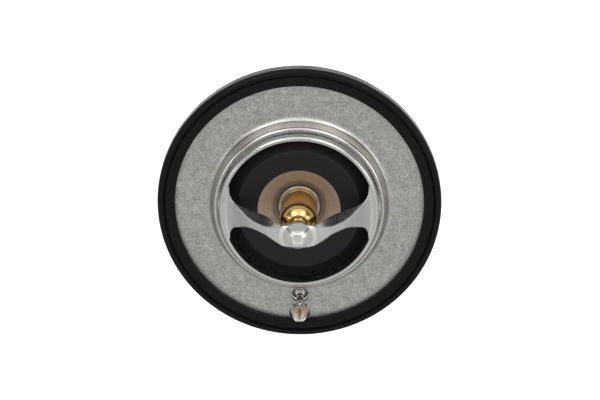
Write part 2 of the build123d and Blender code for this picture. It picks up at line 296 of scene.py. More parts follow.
def patterned(name, base, metallic, roughness, patterns, tone=(), gloss=(), relief=(), **sockets):
    """A material whose colour, roughness and relief follow patterns of real sizes.

    A pattern is its size in millimetres, its detail, how it is stretched, and further inputs.
    The one called rings goes round the axis, one without detail is made of cells, and the others
    are noise.  The rest begin with their pattern's name.  tone goes on with two colours, gloss
    with the two values of the pattern that give the two roughnesses after them, and relief with
    a strength and a depth in millimetres.  The nodes of the patterns and the tone keep names.
    """
    material, tree, shader, place = finish_named(name, base, metallic, roughness, **sockets)
    made = {}
    for label, (size, *rest) in patterns.items():
        if label == "rings":
            made[label] = rings_round_axis(tree, place, size)[0]
            continue
        detail, stretch, more = (*rest, None, None, None)[:3]
        inputs = {"Vector": place, "Scale": per_mm(size), **(more or {})}
        if stretch:
            mapped = {"Vector": place, "Scale": stretch}
            inputs["Vector"] = add_node(tree, "Mapping", mapped)
        if detail:
            inputs["Detail"] = detail
        kind = "TexNoise" if detail else "TexVoronoi"
        made[label] = add_node(tree, kind, inputs, name=label)
    if tone:
        label, dark, light, *reading = tone
        share = made[label]
        if reading:
            share = add_node(tree, "MapRange", (share, *reading))
        colours = {0: share, 6: colour(dark), 7: colour(light)}
        mixed = add_node(tree, "Mix", colours, data_type="RGBA", name="tone")
        feed(shader, Base_Color=mixed)
    if gloss:
        limits = (made[gloss[0]], *gloss[1:])
        feed(shader, Roughness=add_node(tree, "MapRange", limits))
    if relief:
        label, strength, depth = relief
        heights = {"Height": made[label], "Strength": strength, "Distance": depth * MM}
        feed(shader, Normal=add_node(tree, "Bump", heights))
    return material


# %% [markdown]
# ## Tumbled steel
# The flange is pressed from steel strip and tumbled with grit, so that its face is an even grey
# of tiny dents.  The dents are about a third of a millimetre, and weak clouds of 2 mm come from
# the plating.  The collar was drawn after that, so its wall is brighter and has fine rings
# instead of dents: one mask finds it by its radius, and one by its slope.

# %% Tumbled steel for the flange
tumbled, tree, shader, place = finish_named("tumbled_steel", "#b4b5b1", 1.0, 0.44)
dents = add_node(
    tree,
    "TexNoise",
    {"Vector": place, "Scale": per_mm(0.36), "Detail": 3.0, "Roughness": 0.7},
)
cloudy = {"Vector": place, "Scale": per_mm(2.0), "Detail": 2.0}
clouds = add_node(tree, "TexNoise", cloudy)
weak = add_node(tree, "Math", (clouds, 0.2), operation="MULTIPLY")
mottle = add_node(tree, "Math", (dents, weak), operation="ADD")
grey = add_node(tree, "MapRange", (mottle, 0.36, 0.84, 0.0, 1.0))
greys = {0: grey, 6: colour("#7b7d79"), 7: colour("#d6d6d2")}
pressed_tone = add_node(tree, "Mix", greys, data_type="RGBA")

# %% The drawn collar's share of it
lines, distance = rings_round_axis(tree, place, 0.3, detail=1.0, roughness=0.5)
near_axis = add_node(tree, "MapRange", (distance, 19.9 * MM, 20.6 * MM, 1.0, 0.0))
normal = add_node(tree, "NewGeometry").outputs["Normal"]
upright = add_node(tree, "SeparateXYZ", (normal,)).outputs[2]
wall = add_node(tree, "MapRange", (upright, 0.9, 0.98, 1.0, 0.0))
drawn_share = add_node(tree, "Math", (near_axis, wall), operation="MULTIPLY")
silvers = {0: lines, 6: colour("#b0aaa4"), 7: colour("#f4f0ec")}
drawn_tone = add_node(tree, "Mix", silvers, data_type="RGBA")
tones = {0: drawn_share, 6: pressed_tone, 7: drawn_tone}
tone = add_node(tree, "Mix", tones, data_type="RGBA")
dull = add_node(tree, "MapRange", (dents, 0.0, 1.0, 0.36, 0.56))
gloss = add_node(tree, "Mix", {0: drawn_share, 2: dull, 3: 0.24})
depth = add_node(tree, "MapRange", (drawn_share, 0.0, 1.0, 0.55, 0.08))
heights = {"Height": dents, "Strength": depth, "Distance": 0.05 * MM}
dented = add_node(tree, "Bump", heights)
feed(shader, Base_Color=tone, Roughness=gloss, Normal=dented)
print(tumbled.name)

# %% [markdown]
# ## The flange
# A pressed ring with a drawn collar and one punched hole.  The ring is spun, and the hole is cut
# with a Boolean, which keeps a crisp punched edge.

# %% The flange
half_sheet = 0.6
collar_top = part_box("flange")[1][2] / MM
flange_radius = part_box("flange")[1][0] / MM
ring_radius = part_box("bridge")[1][0] / MM
ring_gap = 0.15
collar_wall, collar_foot = 1.1, 1.9
fit_gap = 0.02
vent_circle = 22.2
vent_hole_radius = 1.95
flange = turned(
    "flange_ring",
    [
        (flange_radius - fit_gap, -half_sheet, 0.08),
        (flange_radius - fit_gap, half_sheet, 0.08),
        (ring_radius + collar_foot, half_sheet, 1.6),
        (ring_radius + collar_wall, collar_top, 0.75),
        (ring_radius + ring_gap, collar_top, 0.3),
        (ring_radius + ring_gap, half_sheet, 0.3),
        (ring_radius + 0.6, -half_sheet, 0.5),
    ],
)
punch_mesh = bmesh.new()
bmesh.ops.create_cone(
    punch_mesh,
    cap_ends=True,
    segments=64,
    radius1=vent_hole_radius * MM,
    radius2=vent_hole_radius * MM,
    depth=4 * MM,
    matrix=Matrix.Translation((0, -vent_circle * MM, 0)),
)
punch = finished("punch", punch_mesh)
cut = flange.modifiers.new("vent hole", "BOOLEAN")
cut.operation = "DIFFERENCE"
cut.solver = "EXACT"
cut.object = punch
apply_modifiers(flange)
flange.data.set_sharp_from_angle(angle=math.radians(SHARP_FROM))
bpy.data.objects.remove(punch)
dress(flange, tumbled)
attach(flange, "frame")
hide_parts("flange")
print("flange faces", len(flange.data.polygons))

# %% [markdown]
# ## Moulded rubber
# The gasket is a black rubber moulding with a low sheen.  Moulded rubber shows a soft gloss, a
# faint orange peel of about half a millimetre, and a few specks of pale dust.

# %% Moulded rubber
moulded = patterned(
    "moulded_rubber", "#0e0e0e", 0.0, 0.42,
    {"peel": (0.5, 2.0), "bloom": (4.0, 4.0), "dust": (0.22, 1.0)},
    tone=("dust", "#0f0f0f", "#4a4a48", 0.74, 0.8, 0.0, 0.6),
    gloss=("bloom", 0.3, 0.7, 0.26, 0.42),
    relief=("peel", 0.25, 0.03),
    Specular_IOR_Level=0.13,
)
print(moulded.name)

# %% The gasket
gasket_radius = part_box("gasket")[1][0] / MM
bead_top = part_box("gasket")[1][2] / MM
bead_rise = 0.4
lip_top = bead_top - bead_rise
lip_radius = flange_radius - 2.0
upper_side = [
    (lip_radius, lip_top, 0.35),
    (gasket_radius - 1.86, lip_top, 0.08),
    (gasket_radius - 1.7, lip_top - 0.35, 0.08),
    (gasket_radius - 1.35, bead_top, 0.14),
    (gasket_radius, bead_top, 1.1),
]
lower_side = [(radius, -height, rounding) for radius, height, rounding in reversed(upper_side)]
half_slot = half_sheet + fit_gap
slot = [
    (lip_radius, -half_slot, 0),
    (flange_radius, -half_slot, 0),
    (flange_radius, half_slot, 0),
    (lip_radius, half_slot, 0),
]
gasket = dress(turned("gasket_ring", upper_side + lower_side + slot), moulded)
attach(gasket, "frame")
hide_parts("gasket")
print("gasket radius", gasket_radius, "bead top", bead_top)

# %% [markdown]
# ## Polished stainless
# The bridge is pressed from bright stainless strip and barrel polished.  It mirrors the room
# softly; fine scratches of a quarter of a millimetre run every way.  The arms' flanks carry a
# painted dark reflection: their colour is made dark and patchy.
# The low ring and the arms' roots are a shade greyer than the crown.

# %% Polished stainless for the bridge
polished = patterned(
    "polished_stainless", "#dededa", 1.0, 0.27,
    {"scratches": (0.25, 4.0, None, {"Distortion": 1.5}), "stretch": (1.6, 3.0)},
    tone=("scratches", "#cfcfcc", "#e9e9e6"),
    gloss=("stretch", 0.3, 0.7, 0.22, 0.34),
    relief=("scratches", 0.06, 0.02),
)

# %% Painted dark reflection on the flanks, and grey roots
tree = polished.node_tree
shader, tone, stretch = (tree.nodes[name] for name in ("Principled BSDF", "tone", "stretch"))
place = add_node(tree, "TexCoord").outputs["Object"]
# The flanks, the faces that look sideways along Y out on the arms and above the ring, get a
# painted dark reflection in their colour.
normal = add_node(tree, "NewGeometry").outputs["Normal"]
facing = add_node(tree, "SeparateXYZ", (normal,)).outputs[1]
sideways = add_node(tree, "Math", (facing,), operation="ABSOLUTE")
flank = add_node(tree, "MapRange", (sideways, 0.62, 0.82))
spot = add_node(tree, "SeparateXYZ", (place,)).outputs
span = add_node(tree, "Math", (spot[0],), operation="ABSOLUTE")
arm = add_node(tree, "MapRange", (span, 5.0 * MM, 5.9 * MM))
above = add_node(tree, "MapRange", (spot[2], 7.2 * MM, 9.0 * MM))
high_flank = add_node(tree, "Math", (flank, above), operation="MULTIPLY")
mask = add_node(tree, "Math", (high_flank, arm), operation="MULTIPLY")
foot = add_node(tree, "MapRange", (spot[2], 6.4 * MM, 9.5 * MM, 1.0, 0.0))
lower = add_node(tree, "Mix", {0: foot, 6: tone, 7: colour("#c6c7c4")}, data_type="RGBA")
# Painted dark reflection: these greys make the flanks' colour dark and patchy.
painted_reflection_greys = {0: stretch, 6: colour("#363837"), 7: colour("#7c7e7c")}
painted_dark_reflection = add_node(tree, "Mix", painted_reflection_greys, data_type="RGBA")
both = add_node(tree, "Mix", {0: mask, 6: lower, 7: painted_dark_reflection}, data_type="RGBA")
feed(shader, Base_Color=both)
print(polished.name)

# %% [markdown]
# ## The bridge
# One pressing: a ring, two arched channel arms and a dome that holds the piston's tip.  A
# subdivision cage could make it, but its shape follows a rule, so it is written as a surface.
# Each station along an arm is a channel section with its own width, depth and height, and a
# natural cubic spline carries every size smoothly from station to station.

# %% A smooth curve through stations


def smooth_through(knots, values, wanted):
    """Natural cubic spline through rows of values."""
    knots, values = np.array(knots, float), np.array(values, float)
    count = len(knots)
    gaps = np.diff(knots)
    slopes = np.diff(values, axis=0) / gaps[:, None]
    matrix = np.eye(count)
    right = np.zeros_like(values)
    for i in range(1, count - 1):
        matrix[i, i - 1 : i + 2] = gaps[i - 1], 2 * (gaps[i - 1] + gaps[i]), gaps[i]
        right[i] = 6 * (slopes[i] - slopes[i - 1])
    bend = np.linalg.solve(matrix, right)
    spans = np.clip(np.searchsorted(knots, wanted) - 1, 0, count - 2)
    gap = gaps[spans][:, None]
    ahead = (knots[spans + 1] - wanted)[:, None]
    past = (wanted - knots[spans])[:, None]
    near, far = bend[spans], bend[spans + 1]
    return (
        near * ahead**3 / (6 * gap)
        + far * past**3 / (6 * gap)
        + (values[spans] / gap - near * gap / 6) * ahead
        + (values[spans + 1] / gap - far * gap / 6) * past
    )


# %% Stations of an arm
ROWS = 231
ring_top = 6.1
crown_top = 20.6
# Each row: the middle's reach, its height, half width of the roof, depth, and then the edge's
# reach and half width.
half_stations = [
    (17.20, 5.95, 6.70, 0.10, 15.85, 6.80),
    (16.95, 6.10, 6.35, 0.10, 15.68, 6.55),
    (16.60, 6.15, 5.90, 0.10, 15.52, 6.05),
    (16.10, 6.28, 5.00, 0.10, 15.42, 5.15),
    (15.55, 6.55, 4.10, 0.12, 15.25, 4.25),
    (14.95, 7.05, 3.30, 0.15, 14.85, 3.45),
    (14.20, 7.85, 2.65, 0.30, 14.20, 2.90),
    (13.30, 8.95, 2.20, 0.70, 13.30, 2.60),
    (12.40, 10.15, 1.75, 1.40, 12.40, 2.48),
    (11.45, 11.45, 1.25, 2.20, 11.45, 2.36),
    (10.50, 12.75, 0.95, 2.70, 10.50, 2.28),
    (9.60, 13.90, 0.82, 2.95, 9.60, 2.24),
    (8.70, 15.00, 0.80, 3.10, 8.70, 2.22),
    (7.80, 16.10, 0.82, 3.25, 7.80, 2.22),
    (6.90, 17.15, 0.95, 3.20, 6.90, 2.22),
    (6.06, 18.00, 1.20, 2.55, 6.06, 2.23),
    (5.20, 18.70, 1.50, 1.50, 5.20, 2.25),
    (4.30, 19.35, 1.75, 0.75, 4.30, 2.26),
    (3.40, 19.90, 1.90, 0.40, 3.40, 2.26),
    (2.40, 20.34, 1.95, 0.45, 2.40, 2.42),
    (1.60, 20.50, 1.75, 0.70, 1.60, 2.66),
    (0.80, 20.58, 1.50, 1.10, 0.80, 2.95),
    (0.00, crown_top, 1.40, 1.15, 0.00, 3.00),
]
both_arms = half_stations + [
    (-reach, height, half, depth, -edge_reach, edge_half)
    for reach, height, half, depth, edge_reach, edge_half in reversed(half_stations[:-1])
]
walk = [0.0]
for one, other in zip(both_arms, both_arms[1:]):
    walk.append(walk[-1] + math.hypot(other[0] - one[0], other[1] - one[1]))
rows = smooth_through(walk, both_arms, np.linspace(0, walk[-1], ROWS))
print("length along the arch", round(walk[-1], 1), "mm in", ROWS, "rows")

# %% [markdown]
# The dome is a height that is added near the axis: a ball's cap, then a hollow curve that runs
# out on the crown, and a soft ridge all round it.  Inside, the metal leaves a flat-topped bore
# for the piston's tip.

# %% The dome's height and the channel's section
dome_radius = 3.4
dome_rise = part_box("bridge")[1][2] / MM - crown_top
cap_end, hollow_end = 2.4, 3.4
ridge_rise, ridge_middle, ridge_width = 0.28, 4.1, 0.5


def dome_height(distance):
    """Height of the dome over the crown at a distance from the axis."""
    cap = np.sqrt(np.maximum(dome_radius**2 - distance**2, 0)) - dome_radius + dome_rise
    end_drop = math.sqrt(dome_radius**2 - cap_end**2)
    end_height = end_drop - dome_radius + dome_rise
    end_slope = -cap_end / end_drop * (hollow_end - cap_end)
    t = np.clip((distance - cap_end) / (hollow_end - cap_end), 0, 1)
    hollow = end_height * (2 * t**3 - 3 * t**2 + 1) + end_slope * (t**3 - 2 * t**2 + t)
    ridge = ridge_rise * np.exp(-(((distance - ridge_middle) / ridge_width) ** 2))
    return np.where(distance < cap_end, cap, np.maximum(hollow, 0)) + ridge


def channel(half_top, half_edge, depth, rounding, count):
    """Points (across, drop) of a channel section, spread evenly along it."""
    side = [(half_edge, -depth, 0), (half_top, 0, rounding)]
    corners = side + [(-across, up, turn) for across, up, turn in reversed(side)]
    line = np.array(rounded(corners, guard=0, closed=False))
    along = np.concatenate([[0], np.cumsum(np.linalg.norm(np.diff(line, axis=0), axis=1))])
    even = np.linspace(0, along[-1], count)
    return np.stack([np.interp(even, along, line[:, k]) for k in (0, 1)], axis=1)


# %% The skin of the arms
COLUMNS = 57
sheet, edge_inset, roof_rounding = 1.1, 0.75, 0.85
full_depth = 1.5
piston_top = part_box("piston")[1][2] / MM
piston_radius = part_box("piston")[1][0] / MM
running_gap = 0.05
bore_top = piston_top + 0.02
bore_radius = piston_radius + running_gap


def skin(inset, drop):
    """Grid of points of the arms' outer or inner skin, one row for each section."""
    grid = np.zeros((len(rows), COLUMNS, 3))
    for index, (reach, height, half, depth, edge_reach, edge_half) in enumerate(rows):
        thinner = inset * min(1.0, depth / full_depth)
        half_edge = edge_half - thinner
        half_top = min(half, edge_half - 0.05) - thinner
        steep = math.hypot(half_edge - half_top, depth)
        rounding = min(roof_rounding - inset / 2, 0.45 * half_top, 0.8 * steep)
        section = channel(half_top, half_edge, max(depth, 0.05), max(rounding, 0.04), COLUMNS)
        bow = (section[:, 0] / half_edge) ** 2
        fall = 1 if inset == 0 else 1 - 0.25 * min(1, depth)
        grid[index, :, 0] = reach + (edge_reach - reach) * bow
        grid[index, :, 1] = section[:, 0]
        grid[index, :, 2] = height - drop + section[:, 1] * fall
    distance = np.hypot(grid[:, :, 0], grid[:, :, 1])
    grid[:, :, 2] += dome_height(distance)
    return grid


outer_skin = skin(0.0, 0.0)
inner_skin = skin(edge_inset, sheet)
near_bore = np.hypot(inner_skin[:, :, 0], inner_skin[:, :, 1]) < bore_radius + 0.1
raised = np.maximum(inner_skin[:, :, 2], bore_top)
inner_skin[:, :, 2] = np.where(near_bore, raised, inner_skin[:, :, 2])
# The sheet's thickness is measured square to it, so a sloping arm needs more drop.
slope = np.gradient(rows[:, 1]) / np.gradient(rows[:, 0])
stretched = np.sqrt(1 + np.clip(slope, -2, 2) ** 2) - 1
inner_skin[:, :, 2] -= (sheet * stretched * 0.8)[:, None]
print("skin", outer_skin.shape, "highest", outer_skin[:, :, 2].max().round(2))

# %% [markdown]
# The two skins are joined by a rounded rim, as a blanking tool and the barrel leave it.  The ring
# is spun with a well rounded top, and the arms dip into it, so that the whole is one piece of
# metal to the eye.  A boss under the crown holds the piston's tip.

# %% The bridge as one mesh
RIM_SHARES = (0.1, 0.3, 0.5, 0.7, 0.9)
RIM_BULGE = 0.16


def rim_rows(outer_edge, inner_edge, outward):
    """Rows of points that bulge from the outer skin's edge to the inner skin's."""
    result = []
    for share in RIM_SHARES:
        bulge = RIM_BULGE * (1 - (2 * share - 1) ** 4)
        result.append(outer_edge * (1 - share) + inner_edge * share + outward * bulge)
    return result


def edge_outward(grid, column, neighbour):
    """Unit steps from the skin's interior to its edge."""
    step = grid[:, column] - grid[:, neighbour]
    return step / np.linalg.norm(step, axis=1)[:, None]


right_rim = rim_rows(outer_skin[:, 0], inner_skin[:, 0], edge_outward(outer_skin, 0, 2))
left_rim = rim_rows(outer_skin[:, -1], inner_skin[:, -1], edge_outward(outer_skin, -1, -3))
loops = [outer_skin[:, j] for j in range(COLUMNS)] + left_rim
loops += [inner_skin[:, j] for j in reversed(range(COLUMNS))] + right_rim[::-1]
bridge_mesh = bmesh.new()
grid = [[bridge_mesh.verts.new(Vector(point) * MM) for point in line] for line in loops]
for line, after in zip(grid, grid[1:] + grid[:1]):
    for index in range(len(line) - 1):
        bridge_mesh.faces.new((line[index], line[index + 1], after[index + 1], after[index]))
for end in (0, -1):
    bridge_mesh.faces.new([line[end] for line in grid])
opening_radius = ring_radius - 1.15
ring_outside = ring_radius - 0.01
seat_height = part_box("bridge")[0][2] / MM
ring_corners = [
    (opening_radius, seat_height, 0.3),
    (ring_outside, seat_height, 0.15),
    (ring_outside, ring_top, 0.95),
    (opening_radius, ring_top, 0.12),
]
spun(bridge_mesh, rounded(ring_corners))
boss_bottom = 16.4
boss_radius = 2.5
boss_corners = [
    (bore_radius, boss_bottom, 0.1),
    (boss_radius, boss_bottom, 0.45),
    (boss_radius, crown_top - sheet, 0),
    (bore_radius, crown_top - sheet, 0),
]
spun(bridge_mesh, rounded(boss_corners), 96)
bridge = dress(finished("bridge_pressing", bridge_mesh, sharp=60), polished)
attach(bridge, "frame")
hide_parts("bridge")
print("bridge faces", len(bridge.data.polygons))

# %% [markdown]
# ## Bonded rubber and turned plate
# The valve plate is a dished pressing whose outer part carries a bonded rubber seat.  The rubber
# comes from a ground mould: it is black with a trace of fine rings.  The bare dish was turned,
# and it is coloured a warm grey with a half matt skin.  Rings of 0.35 mm catch the light, and
# painted shade darkens the valley round the hub.

# %% Bonded rubber, and turned plate with painted shade in its valley
bonded = patterned(
    "bonded_rubber", "#1a1a19", 0.0, 0.5,
    {"rings": (0.5,)},
    tone=("rings", "#0c0c0c", "#141413"),
    relief=("rings", 0.12, 0.03),
    Specular_IOR_Level=0.3,
)
warm_plate = patterned(
    "turned_plate", "#b9aca0", 0.7, 0.5,
    {"rings": (0.35,)},
    tone=("rings", "#9d8f86", "#cdc2ba"),
    relief=("rings", 0.3, 0.03),
)
tree = warm_plate.node_tree
distance = axis_distance(tree, add_node(tree, "TexCoord").outputs["Object"])
# Painted shade: the plate's colour is darkened in the valley round the hub.
painted_shade_share = add_node(tree, "MapRange", (distance, 5.0 * MM, 6.3 * MM, 0.85, 0.0))
painted_shade_colours = {0: painted_shade_share, 6: tree.nodes["tone"], 7: colour("#3a322b")}
painted_valley_shade = add_node(tree, "Mix", painted_shade_colours, data_type="RGBA")
feed(tree.nodes["Principled BSDF"], Base_Color=painted_valley_shade)
print(bonded.name, warm_plate.name)

# %% The valve plate and its rubber
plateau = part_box("valve_rubber")[1][2] / MM
rubber_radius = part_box("valve_rubber")[1][0] / MM
rim_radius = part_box("valve_plate")[1][0] / MM
plateau_radius, bare_radius, hub_radius, guide_radius = 13.7, 9.3, 5.4, 4.15
hub_top = 1.0
valley_radius, hub_hollow_radius = 8.3, 5.85
rubber, metal = 1.1, 0.9
lean = math.radians(43)


def cone_height(radius, under):
    """Height of the sealing cone at a radius, a distance under its surface."""
    return plateau - (radius - plateau_radius) * math.tan(lean) - under / math.cos(lean)


def cone_radius(height, under):
    """Radius of the sealing cone at a height, a distance under its surface."""
    return plateau_radius + (plateau - under / math.cos(lean) - height) / math.tan(lean)


rubber_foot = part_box("valve_rubber")[0][2] / MM
lower_rim = rim_radius - metal * 0.7
lap_radius = rim_radius - 1.1
under_both = rubber + metal
plate_top = plateau - rubber
bond_line = [
    (bare_radius, plate_top, 0),
    (cone_radius(plate_top, rubber), plate_top, 0),
    (rim_radius, cone_height(rim_radius, rubber), 0),
]
plate = turned(
    "valve_disc",
    [
        (guide_radius, hub_top - metal, 0),
        (guide_radius, hub_top, 0),
        (hub_radius, hub_top, 0.8),
        (bare_radius, plateau - 0.02, 0.05),
        *bond_line,
        (lower_rim, cone_height(lower_rim, under_both), 0.1),
        (cone_radius(plate_top - metal, under_both), plate_top - metal, 0.2),
        (valley_radius, plate_top - metal, 0.8),
        (hub_hollow_radius, hub_top - metal, 0.8),
    ],
)
dress(plate, warm_plate)
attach(plate, "valve")
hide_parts("valve_plate")
seat = turned(
    "valve_seat_rubber",
    [
        (bare_radius, plateau, 0.06),
        (plateau_radius, plateau, 0.7),
        (rubber_radius, cone_height(rubber_radius, 0), 0.4),
        (rubber_radius, rubber_foot, 0.5),
        (lap_radius, rubber_foot, 0.15),
        (lap_radius, cone_height(lap_radius, under_both), 0),
        (lower_rim, cone_height(lower_rim, under_both), 0),
        *reversed(bond_line),
    ],
)
dress(seat, bonded)
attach(seat, "valve")
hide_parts("valve_rubber")
print("rubber radius", rubber_radius, "plateau", plateau)

# %% [markdown]
# ## Turned brass and three steels
# The guide is turned from leaded brass: golden, with a satin cut and a little tarnish.  The
# piston and the vent pin's ball are bright steel, ground to a near mirror.  The retaining ring is
# spring steel, browned a little by its tempering, and the pin's head is silvery where the jaws
# nipped it.

# %% Brass and steels
brass = patterned(
    "turned_brass", "#d0a45c", 1.0, 0.36,
    {"cuts": (0.15, 2.0, (0.06, 0.06, 1.0)), "tarnish": (2.2, 3.0)},
    tone=("tarnish", "#e2b366", "#f8d894"),
    gloss=("tarnish", 0.0, 1.0, 0.16, 0.26),
    relief=("cuts", 0.12, 0.02),
)
bright = patterned(
    "bright_steel", "#b9b7b3", 1.0, 0.1,
    {"handling": (0.8, 4.0)},
    gloss=("handling", 0.3, 0.7, 0.06, 0.16),
)
tempered = patterned(
    "tempered_steel", "#b5aa9c", 1.0, 0.3,
    {"bloom": (0.6, 3.0)},
    tone=("bloom", "#9d9184", "#c9c0b4"),
)
nipped = patterned(
    "nipped_steel", "#e9e1d8", 1.0, 0.22,
    {"drag": (0.5, 3.0)},
    tone=("drag", "#d2c9c0", "#f6efe8"),
)
print(brass.name, bright.name, tempered.name, nipped.name)

# %% The retaining ring
groove_radius = 3.8
snap_radius = 4.75
snap_top = hub_top + 0.8
snap_ring = turned(
    "snap_ring",
    [
        (groove_radius, hub_top, 0.05),
        (snap_radius, hub_top, 0.3),
        (snap_radius, snap_top, 0.38),
        (groove_radius, snap_top, 0.05),
    ],
)
dress(snap_ring, tempered)
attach(snap_ring, "valve")
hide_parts("retaining_ring")
print("ring from", hub_top, "to", snap_top)

# %% [markdown]
# The guide's nose narrows to a small rim round the piston.  Its line is an ellipse with a
# slimmer shoulder, which the power of the cosine gives.

# %% The guide and the piston
guide_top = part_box("element_guide")[1][2] / MM
shoulder_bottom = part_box("element_guide")[0][2] / MM
shoulder_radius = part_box("element_guide")[1][0] / MM
NOSE_STEPS = 15
nose_power = 1.4
nose_foot, nose_end = 10.0, 2.0
nose = [
    (
        nose_end + (guide_radius - nose_end) * math.cos(a) ** nose_power,
        nose_foot + (guide_top - nose_foot) * math.sin(a),
        0,
    )
    for a in np.linspace(math.pi / 2, 0, NOSE_STEPS)
]
crimp_radius = 5.9
hub_bottom = hub_top - metal
shoulder_top = hub_bottom - 0.8
guide = turned(
    "guide_turning",
    [
        (piston_radius + running_gap, shoulder_bottom, 0.1),
        (piston_radius + running_gap, guide_top, 0.05),
    ]
    + nose
    + [
        (guide_radius, snap_top, 0.05),
        (groove_radius, snap_top, 0),
        (groove_radius, hub_top, 0),
        (guide_radius, hub_top, 0),
        (guide_radius, hub_bottom, 0),
        (crimp_radius, hub_bottom, 0),
        (crimp_radius, shoulder_top, 0),
        (shoulder_radius, shoulder_top, 0),
        (shoulder_radius, shoulder_bottom, 0.1),
    ],
)
dress(guide, brass)
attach(guide, "valve")
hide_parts("element_guide")
piston_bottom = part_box("piston")[0][2] / MM
rod = turned(
    "piston_rod",
    [
        (0, piston_bottom, 0),
        (piston_radius, piston_bottom, 0.25),
        (piston_radius, piston_top, 0.3),
        (0, piston_top, 0),
    ],
)
dress(rod, bright)
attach(rod, "frame")
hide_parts("piston")
print("guide top", guide_top, "piston top", piston_top)

# %% [markdown]
# ## The wax cup
# A deep-drawn brass cup holds the wax.  Drawing leaves faint upright lines and a duller, browner
# skin than turning does.  Its rim is crimped over the guide's shoulder.

# %% The cup
drawn = patterned(
    "drawn_brass", "#b08a4c", 1.0, 0.34,
    {"lines": (0.4, 3.0, (1.0, 1.0, 0.05)), "stain": (5.0, 4.0)},
    tone=("stain", "#97713a", "#c39c5c"),
    gloss=("lines", 0.0, 1.0, 0.24, 0.46),
    relief=("lines", 0.2, 0.03),
)
cup_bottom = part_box("element_cup")[0][2] / MM
cup_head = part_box("element_cup")[1][0] / MM
cup_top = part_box("element_cup")[1][2] / MM
cup_radius = 6.4
cup_wall = 0.8
cup_ledge = shoulder_bottom - 0.8
cup_bore = cup_radius - cup_wall
cup = turned(
    "wax_cup",
    [
        (crimp_radius, cup_top, 0.12),
        (cup_head, cup_top, 0.5),
        (cup_head, cup_ledge - cup_wall, 0.4),
        (cup_radius, cup_ledge - cup_wall, 0.4),
        (cup_radius, cup_bottom, 0.8),
        (0, cup_bottom, 0),
        (0, cup_bottom + cup_wall, 0),
        (cup_bore, cup_bottom + cup_wall, 0.5),
        (cup_bore, cup_ledge, 0.1),
        (shoulder_radius, cup_ledge, 0),
        (shoulder_radius, cup_top - cup_wall, 0),
        (crimp_radius, cup_top - cup_wall, 0.12),
    ],
)
dress(cup, drawn)
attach(cup, "valve")
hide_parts("element_cup")
print("cup from", cup_bottom, "to", cup_top)

# %% [markdown]
# ## The springs
# A coil spring is a wire that follows a rule, so Geometry Nodes make it.  The rule is the one of
# a spring coiler: close turns at both ends, open turns between them, and ends that are ground
# flat.  A modelled helix could be swept by hand, but the node tree serves both springs.

# %% A spring's node tree
SPRING_SIZES = ("Wire Radius", "Bottom Radius", "Top Radius", "Bottom", "Top")
SPRING_TURNS = ("Turns", "Close Turns")
COIL_STEPS, WIRE_STEPS = 433, 22
GROUND_SHARE = 0.5
CLOSE_PITCH = 2.02


def spring_tree(material):
    """Node tree of a coil spring with closed and ground ends."""
    tree = bpy.data.node_groups.new("coil_spring", "GeometryNodeTree")
    tree.interface.new_socket("Geometry", in_out="OUTPUT", socket_type="NodeSocketGeometry")
    tree.interface.new_socket("Geometry", in_out="INPUT", socket_type="NodeSocketGeometry")
    for name in SPRING_SIZES + SPRING_TURNS:
        tree.interface.new_socket(name, in_out="INPUT", socket_type="NodeSocketFloat")
    given = tree.nodes.new("NodeGroupInput").outputs

    def maths(operation, one, two=0.0):
        return add_node(tree, "Math", (one, two), operation=operation)

    wire = given["Wire Radius"]
    sunk = maths("MULTIPLY", wire, GROUND_SHARE)
    first = maths("ADD", given["Bottom"], sunk)
    travel = maths("SUBTRACT", maths("SUBTRACT", given["Top"], sunk), first)
    close_pitch = maths("MULTIPLY", wire, CLOSE_PITCH)
    close_rise = maths("MULTIPLY", close_pitch, given["Close Turns"])
    open_rise = maths("SUBTRACT", travel, maths("MULTIPLY", close_rise, 2.0))
    share = add_node(tree, "GeometryNodeSplineParameter")
    turn = maths("MULTIPLY", share, given["Turns"])
    last = maths("SUBTRACT", given["Turns"], given["Close Turns"])

    def ramp(start, end, rise):
        return add_node(tree, "MapRange", (turn, start, end, 0.0, rise))

    lower = ramp(0.0, given["Close Turns"], close_rise)
    middle = ramp(given["Close Turns"], last, open_rise)
    upper = ramp(last, given["Turns"], close_rise)
    height = maths("ADD", first, maths("ADD", lower, maths("ADD", middle, upper)))
    limits = (share, 0.0, 1.0, given["Bottom Radius"], given["Top Radius"])
    radius = add_node(tree, "MapRange", limits)
    angle = maths("MULTIPLY", turn, 2 * math.pi)
    across = maths("MULTIPLY", radius, maths("COSINE", angle))
    along = maths("MULTIPLY", radius, maths("SINE", angle))
    point = add_node(tree, "CombineXYZ", (across, along, height))

    def step(kind, **inputs):
        named = {name.replace("_", " "): value for name, value in inputs.items()}
        return add_node(tree, "GeometryNode" + kind, named)

    line = step("ResampleCurve", Curve=step("CurvePrimitiveLine"), Count=COIL_STEPS)
    coil = step("SetPosition", Geometry=line, Position=point)
    circle = step("CurvePrimitiveCircle", Resolution=WIRE_STEPS, Radius=wire)
    wired = step("CurveToMesh", Curve=coil, Profile_Curve=circle, Fill_Caps=True)
    # Grinding takes a quarter of the wire off each end: points beyond the ends are laid flat.
    parts = add_node(tree, "SeparateXYZ", (step("InputPosition"),)).outputs
    kept = maths("MINIMUM", maths("MAXIMUM", parts[2], given["Bottom"]), given["Top"])
    flat = add_node(tree, "CombineXYZ", (parts[0], parts[1], kept))
    faced = step("SetPosition", Geometry=wired, Position=flat)
    smooth = step("SetShadeSmooth", Geometry=faced)
    real = step("RealizeInstances", Geometry=smooth)
    coated = step("SetMaterial", Geometry=real, Material=material)
    add_node(tree, "NodeGroupOutput", (coated,))
    return tree


# %% [markdown]
# Spring wire is drawn through a die, blued by its tempering and then oiled: a dark grey metal
# with fine lines along the wire.  The lines show only as a soft grain, so a fine noise does.

